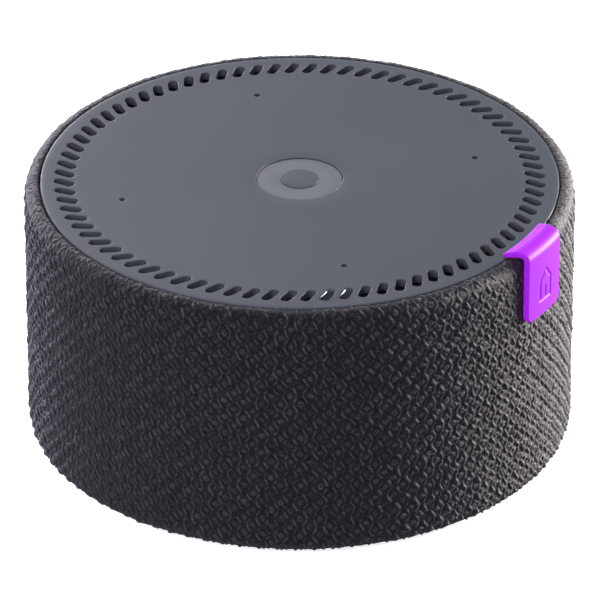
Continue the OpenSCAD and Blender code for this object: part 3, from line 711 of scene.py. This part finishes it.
def buildPlate():
    low, top = plateTop - plate["thickness"], plateTop
    straight = (plate["slotLength"] - plate["slotWidth"]) / 2
    loop = slotTile()
    tile = holeStack(loop, np.array([plate["slotRing"], 0]), straight, plate["slotWidth"] / 2,
                     -plate["slotTilt"], plate["slotBevel"], low, top)
    turns = plate["slotStart"] + np.arange(plate["slots"]) * 2 * math.pi / plate["slots"]
    tiles = np.concatenate([
        np.concatenate([spin(tile[..., :2], turn), tile[..., 2:]], -1).reshape(-1, 3) for turn in turns])
    tileFaces = gridFaces(len(tile), len(loop), closeColumns=True)
    perTile = tile.shape[0] * tile.shape[1]
    faces = (tileFaces[None] + (np.arange(len(turns)) * perTile)[:, None, None]).reshape(-1, 4)
    allPoints, allFaces = [tiles], [faces]

    # plain rings inside and outside the band share its circle points
    columns = plate["slots"] * plate["arcSteps"]
    step = 2 * math.pi / columns
    lean = math.tan(-plate["slotTilt"]) / plate["slotRing"]

    def bandStart(radius):
        # the angle at which the first tile's slanted side meets this circle
        return plate["slotStart"] + (radius - plate["slotRing"]) * lean - 0.5 * step * plate["arcSteps"]

    def rings(profile, start):
        angle = start + np.arange(columns) * step
        radius, height = profile[:, 0][:, None], profile[:, 1][:, None]
        grid = np.stack(np.broadcast_arrays(radius * np.cos(angle), radius * np.sin(angle), height), -1)
        return grid, gridFaces(len(profile), columns, closeColumns=True)

    innerStart, outerStart = bandStart(plate["bandInner"]), bandStart(plate["bandOuter"])
    edge = plate["edgeRound"]
    turn = np.linspace(0, math.pi / 2, 6)
    outerProfile = np.vstack([
        [[plate["bandOuter"], top]],
        np.column_stack([plateRadius - edge + edge * np.sin(turn), top - edge + edge * np.cos(turn)]),
        [[plateRadius, low], [plate["bandOuter"], low]]])
    grid, ringFaces = rings(outerProfile, outerStart)
    allPoints.append(grid.reshape(-1, 3))
    allFaces.append(ringFaces[:, ::-1])

    # the middle: rings from the key's hole out to the band, with a tile round each microphone hole
    keyHole, keyBevel = plate["keyHole"], plate["keyBevel"]
    micInner, micOuter = plate["micRing"] - plate["micTile"], plate["micRing"] + plate["micTile"]
    between = np.linspace(keyHole + keyBevel, micInner, 9)
    micRadii = np.linspace(micInner, micOuter, 9)
    topRadii = np.concatenate([between[1:], micRadii[1:], [plate["bandInner"]]])
    bevelTurn = np.linspace(0, math.pi / 2, 5)
    innerProfile = np.vstack([
        [[plate["bandInner"], low], [keyHole, low]],
        np.column_stack([keyHole + keyBevel * (1 - np.cos(bevelTurn)),
                         top - keyBevel * (1 - np.sin(bevelTurn))]),
        np.column_stack([topRadii, np.full(len(topRadii), top)])])
    grid, ringFaces = rings(innerProfile, innerStart)
    firstMic = 2 + len(bevelTurn) + len(between) - 2
    half = 8  # mesh steps on each side of a microphone hole
    keep = np.ones((len(innerProfile) - 1, columns), dtype=bool)
    for quarter in range(4):
        aim = quarter * math.pi / 2
        middle = int(np.round(((aim - innerStart) % (2 * math.pi)) / step))
        span = (np.arange(middle - half, middle + half + 1)) % columns
        keep[firstMic:firstMic + len(micRadii) - 1, span[:-1]] = False
        rows = np.arange(firstMic, firstMic + len(micRadii))
        loopPoints = np.vstack([
            grid[rows[0], span][:-1], grid[rows, span[-1]][:-1],
            grid[rows[-1], span[::-1]][:-1], grid[rows[::-1], span[0]][:-1]])[:, :2]
        centre = plate["micRing"] * np.array([math.cos(aim), math.sin(aim)])
        stack = holeStack(loopPoints, centre, 0.0, plate["micHole"], 0.0, plate["micBevel"], low, top)[1:]
        allPoints.append(stack.reshape(-1, 3))
        allFaces.append(gridFaces(len(stack), len(loopPoints), closeColumns=True))
    ringFaces = ringFaces.reshape(len(innerProfile) - 1, columns, 4)[keep]
    allPoints.append(grid.reshape(-1, 3))
    allFaces.append(ringFaces)

    offset, faceSets = 0, []
    for points, faces in zip(allPoints, allFaces):
        faceSets.append(faces + offset)
        offset += len(points)
    piece = makeMesh("topPlate", np.vstack(allPoints), faceSets, sharp=0)
    weld(piece, 0.002 * mm, 40)
    return dress(piece, "plate_grey", "base", "top_plate")


topPlate = buildPlate()
print("plate:", len(topPlate.data.polygons), "faces")


# ---------- action key ----------

key = {"radius": 6.98 * mm, "flange": 7.7 * mm, "skin": 1.1 * mm, "edge": 0.10 * mm, "island": 3.1 * mm,
       "islandEdge": 0.08 * mm, "moat": 0.03 * mm, "pocket": 0.7 * mm, "wall": 0.9 * mm,
       "stem": 0.85 * mm, "flangeHeight": 0.5 * mm, "round": 0.1 * mm}


def buildKey():
    # a cap with a rounded edge, a shallow moat round the island's seat, a flange that holds it in and a
    # stem under its middle; both profiles end next to the axis, where a fan closes them
    top, stemEnd = keyTop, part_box("action_key")[0].z
    low = stemEnd + 0.5 * mm
    pocket, skin, shelf = top - key["pocket"], top - key["skin"], low + key["flangeHeight"]
    seat, wall, rounded = key["island"] + key["moat"], key["radius"] - key["wall"], key["round"]
    axis = 0.0001 * mm
    corners = [(axis, pocket), (seat, pocket), (seat, top), (key["radius"], top), (key["radius"], shelf),
               (key["flange"], shelf), (key["flange"], low), (wall, low), (wall, skin),
               (key["stem"], skin), (key["stem"], stemEnd), (axis, stemEnd)]
    radii = [0, 0, 0.03 * mm, key["edge"], 0, rounded, rounded, rounded, rounded, 0, rounded, 0]
    profile = roundedPath(corners, radii)
    cap = capped("actionKey", profile[::-1], 256)
    dress(cap, "key_grey", "key", "action_key")
    corners = [(axis, pocket), (key["island"], pocket), (key["island"], islandTop), (axis, islandTop)]
    seatProfile = roundedPath(corners, [0, 0.05 * mm, key["islandEdge"], 0], 5)
    island = capped("keyIsland", seatProfile, 200)
    dress(island, "plate_grey", "key", "key_island")


buildKey()


# ---------- sensor windows ----------

window = {"crown": 0.42 * mm, "inset": 0.03 * mm, "shoulder": 0.4 * mm, "sides": 72}


def buildWindow(number, slotNumber):
    # loops of the slot's outline shrink towards its middle while the height follows 1 - t^2.4, which
    # gives a full dome; the walls go down to a wider shoulder under the plate
    node = f"sensor_window_{number}"
    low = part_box(node)[0].z
    straight = (plate["slotLength"] - plate["slotWidth"]) / 2
    radius = plate["slotWidth"] / 2 - window["inset"]
    sides = window["sides"]
    direction = np.arange(sides) * 2 * math.pi / sides + 0.01
    shoulderZ = plateTop - plate["thickness"]
    loops = [(straight + window["shoulder"] * 0.4, radius + window["shoulder"], low),
             (straight + window["shoulder"] * 0.4, radius + window["shoulder"], shoulderZ),
             (straight, radius, shoulderZ), (straight, radius, plateTop - 0.12 * mm)]
    for t in np.linspace(0, 0.97, 12):
        shrink = t ** 0.8
        loops.append((straight * (1 - 0.75 * shrink), radius * (1 - shrink),
                      plateTop - 0.06 * mm + window["crown"] * (1 - (1 - t) ** 2.4)))
    points = np.stack([np.column_stack([roundLoop(direction, a, max(r, 1e-6)), np.full(sides, z)])
                       for a, r, z in loops])
    turn = plate["slotStart"] + slotNumber * 2 * math.pi / plate["slots"]
    plan = spin(points[..., :2], -plate["slotTilt"]) + np.array([plate["slotRing"], 0])
    points = np.concatenate([spin(plan, turn), points[..., 2:]], -1).reshape(-1, 3)
    count = len(loops)
    faces = gridFaces(count, sides, closeColumns=True)
    lowCap = np.arange(sides)[None, ::-1]
    highCap = np.arange(sides)[None] + (count - 1) * sides
    piece = makeMesh(f"sensorWindow_{number}", points, [faces, lowCap, highCap], sharp=50)
    dress(piece, "window_gloss", "base", node)


for number, slot in enumerate(plate["windows"], 1):
    buildWindow(number, slot)
print("key and windows done")


# ---------- side tag ----------

tag = {
    "angle": math.radians(-45),
    "halfWidth": 5.1 * mm,
    "flare": 0.75 * mm,        # how much wider each side is at the lip
    "thickness": 1.05 * mm,
    "bend": 1.5 * mm,          # outer radius where it turns over the rim
    "corner": 1.5 * mm,        # round of the lower corners
    "round": 0.30 * mm,        # round of the long edges
    "lipRadius": 41.75 * mm,
    "lipRound": 0.5 * mm,      # round of the corners at the lip
    "hump": 0.5 * mm,
    "columns": 121,
    "rows": 221,
    "markDepth": 0.16 * mm,
    "markStroke": 0.24 * mm,
    "markMiddle": 38.9 * mm,   # height of the middle of the mark
}


def tagPath():
    # the outer face's (radius, height) from the lower end up, over the rim and down at the lip
    outer = sleeveRadius + tag["thickness"] + 0.04 * mm
    crown = tagTop + tag["hump"]
    corners = [(outer, tagLow), (outer, crown - 0.3 * mm), (43.9 * mm, crown),
               (tag["lipRadius"] + 0.25 * mm, crown - 0.55 * mm),
               (tag["lipRadius"] - 0.30 * mm, plateTop + 0.35 * mm)]
    path = roundedPath(corners, [0, tag["bend"], 3.0 * mm, 0.55 * mm, 0], 14)
    path = path[:-1] if np.allclose(path[-1], path[-2]) else path
    length = np.concatenate([[0], np.cumsum(np.hypot(*np.diff(path, axis=0).T))])
    s = np.linspace(0, length[-1], tag["rows"])
    points = np.column_stack([np.interp(s, length, path[:, 0]), np.interp(s, length, path[:, 1])])
    kernel = np.ones(5) / 5
    soft = np.column_stack([np.convolve(np.pad(points[:, k], 2, "edge"), kernel, "valid") for k in (0, 1)])
    along = np.gradient(soft, axis=0)
    along /= np.linalg.norm(along, axis=1, keepdims=True)
    return s, soft, np.column_stack([along[:, 1], -along[:, 0]])


def strokeDistance(x, y, path):
    # distance from a point to the nearest stretch of a line through the path's corners
    near = np.full(np.broadcast(x, y).shape, 1.0)
    for (ax, ay), (bx, by) in zip(path[:-1], path[1:]):
        dx, dy = bx - ax, by - ay
        t = np.clip(((x - ax) * dx + (y - ay) * dy) / (dx * dx + dy * dy), 0, 1)
        near = np.minimum(near, np.hypot(x - ax - t * dx, y - ay - t * dy))
    return near


def buildTag():
    # cross-section u runs from edge to edge; the outer and inner faces meet in rounded edges, and the
    # lower corners follow a quarter circle. The house outline is pressed into the face
    s, path, normal = tagPath()
    total = s[-1]
    half = tag["halfWidth"] + tag["flare"] * smoothStep(s, total - 5.0 * mm, total - 0.6 * mm)
    corner = np.clip(tag["corner"] - s, 0, tag["corner"])
    half = half - (tag["corner"] - np.sqrt(np.maximum(tag["corner"] ** 2 - corner ** 2, 0)))
    lipRound = tag["lipRound"]
    lipEnd = np.clip(lipRound - (total - s), 0, lipRound)
    half = half - (lipRound - np.sqrt(np.maximum(lipRound ** 2 - lipEnd ** 2, 0)))
    u = np.sin(np.linspace(-1, 1, tag["columns"]) * math.pi / 2 * 0.96) / math.sin(math.pi / 2 * 0.96)
    across = u[None, :] * half[:, None]
    edgeRound = tag["round"]
    fromSide = half[:, None] - np.abs(across)
    fromEnd = np.minimum(s, total - s)[:, None]
    side = np.clip(edgeRound - fromSide, 0, edgeRound)
    end = np.clip(edgeRound - fromEnd, 0, edgeRound)
    off = np.minimum(side ** 2 + end ** 2, edgeRound ** 2)
    drop = edgeRound - np.sqrt(np.maximum(edgeRound ** 2 - off, 0))
    x, y = across, (path[:, 1] - tag["markMiddle"])[:, None]
    wide, sill, eaves, ridge = 1.6 * mm, -2.6 * mm, 0.7 * mm, 2.7 * mm
    house = [(-wide, sill), (-wide, eaves), (0, ridge), (wide, eaves), (wide, sill), (-wide, sill)]
    door = [(0, -2.3 * mm), (0, -0.5 * mm)]
    near = np.minimum(strokeDistance(x, y, house), strokeDistance(x, y, door))
    onFace = (s < 11.5 * mm)[:, None]
    mark = np.where(onFace, 1 - smoothStep(near, tag["markStroke"] * 0.6, tag["markStroke"] * 1.25), 0)
    outerLift = -drop - tag["markDepth"] * mark
    thick = tag["thickness"] - 0.15 * mm * smoothStep(s, total - 2.5 * mm, total)[:, None]
    innerLift = -thick + drop

    def place(lift):
        radius, height = path[:, :1] + lift * normal[:, :1], path[:, 1:] + lift * normal[:, 1:]
        angle = tag["angle"] + across / sleeveRadius * (sleeveRadius / np.maximum(radius, 0.03)) ** 0.6
        height = np.broadcast_to(height, angle.shape)
        return np.stack([radius * np.cos(angle), radius * np.sin(angle), height], -1)

    rows, columns = across.shape
    points = np.concatenate([place(outerLift).reshape(-1, 3), place(innerLift).reshape(-1, 3)])
    offset = rows * columns
    outerFaces = gridFaces(rows, columns)
    innerFaces = gridFaces(rows, columns)[:, ::-1] + offset
    left, right = np.arange(rows) * columns, np.arange(rows) * columns + columns - 1
    low, high = np.arange(columns), np.arange(columns) + (rows - 1) * columns
    strips = [np.stack([a[:-1], a[1:], a[1:] + offset, a[:-1] + offset], -1)
              for a in (left, right, low, high)]
    piece = makeMesh("sideTag", points, [outerFaces, innerFaces, *strips], sharp=0)
    weld(piece, 0.0005 * mm, 60)
    dress(piece, "tag_purple", "base", "side_tag")


buildTag()
print("tag done")


# ---------- camera, floor and light ----------

view = {"azimuth": -13.865, "elevation": 29.92, "distance": 1082.8 * mm, "lens": 394.3,
        "aim": (0.00005, 0.0, 22.0 * mm)}
hubMiddle = (0, 0, 0.03)


def towards(azimuth, elevation):
    # the unit vector at these angles in degrees: azimuth 0 is the front and 90 is the right
    a, e = math.radians(azimuth), math.radians(elevation)
    return Vector((math.sin(a) * math.cos(e), -math.cos(a) * math.cos(e), math.sin(e)))


def standFacing(thing, aim, away, distance):
    # stands a camera or a light at this distance from the aim and turns it to look there
    thing.location = Vector(aim) + away * distance
    thing.rotation_euler = (-away).to_track_quat("-Z", "Y").to_euler()
    bpy.context.scene.collection.objects.link(thing)


camera = bpy.data.objects.new("camera", bpy.data.cameras.new("camera"))
standFacing(camera, view["aim"], towards(view["azimuth"], view["elevation"]), view["distance"])
camera.data.lens = view["lens"]
camera.data.sensor_width = 36
camera.data.clip_start, camera.data.clip_end = 0.05, 10
bpy.context.scene.camera = camera
bpy.context.scene.view_settings.view_transform = "Standard"


def addLight(name, azimuth, elevation, distance, size, power, color, diffuse=True, glossy=True):
    # a soft panel on a sphere round the hub, turned to face it
    light = bpy.data.objects.new(name, bpy.data.lights.new(name, "AREA"))
    light.data.shape = "RECTANGLE"
    light.data.size, light.data.size_y = size
    light.data.energy, light.data.color = power, color
    light.visible_diffuse, light.visible_glossy = diffuse, glossy
    standFacing(light, hubMiddle, towards(azimuth + view["azimuth"], elevation), distance)


# azimuths are turned with the camera: 0 is behind it, 90 is at its right
lights = {
    "rightPanel": dict(azimuth=116, elevation=3, distance=0.7, size=(0.45, 0.1), power=17.5,
                       color=(1.0, 0.945, 0.90)),
    "leftPanel": dict(azimuth=-144, elevation=0, distance=0.8, size=(0.25, 0.04), power=56,
                      color=(0.88, 0.90, 1.0), glossy=False),
    "rimPanel": dict(azimuth=-125, elevation=16, distance=0.8, size=(0.3, 0.2), power=2.0,
                     color=(0.95, 0.95, 1.0), diffuse=False),
    "topPanel": dict(azimuth=180, elevation=70, distance=0.8, size=(0.7, 0.7), power=7.7,
                     color=(0.98, 0.98, 1.0), glossy=False),
    "frontPanel": dict(azimuth=-30, elevation=26, distance=0.8, size=(0.5, 0.5), power=5.0,
                       color=(0.92, 0.89, 1.0), glossy=False),
    "glintPanel": dict(azimuth=198, elevation=14, distance=0.8, size=(0.18, 0.18), power=2.3,
                       color=(1, 1, 1), diffuse=False),
}
for name, values in lights.items():
    addLight(name, **values)

floorMaterial, tree, shader = newMaterial("floor")
cloud = useGroup(tree, grainGroup, Base=(0.92, 0.92, 0.93, 1), Grain_Scale=200.0, Cloud_Scale=3.0,
                 Tint_Amount=0.02)
tree.links.new(cloud.outputs["Color"], shader.inputs["Base Color"])
shader.inputs["Roughness"].default_value = 0.9
shader.inputs["Emission Color"].default_value = (1, 1, 1, 1)
shader.inputs["Emission Strength"].default_value = 0.7
span = 3.0
floorZ = -0.05 * mm  # just under the foot, so that the two faces never coincide
floorCorners = np.array([[-span, -span, floorZ], [span, -span, floorZ],
                         [span, span, floorZ], [-span, span, floorZ]])
floor = makeMesh("floor", floorCorners, [np.array([[0, 1, 2, 3]])], sharp=0)
floor.data.materials.append(floorMaterial)
floor.visible_diffuse = False
floor.visible_glossy = False

world = bpy.data.worlds.new("studio")
bpy.context.scene.world = world
world.use_nodes = True
world.node_tree.nodes["Background"].inputs["Color"].default_value = (0.86, 0.85, 1.0, 1)
world.node_tree.nodes["Background"].inputs["Strength"].default_value = 0.27
print("studio done")
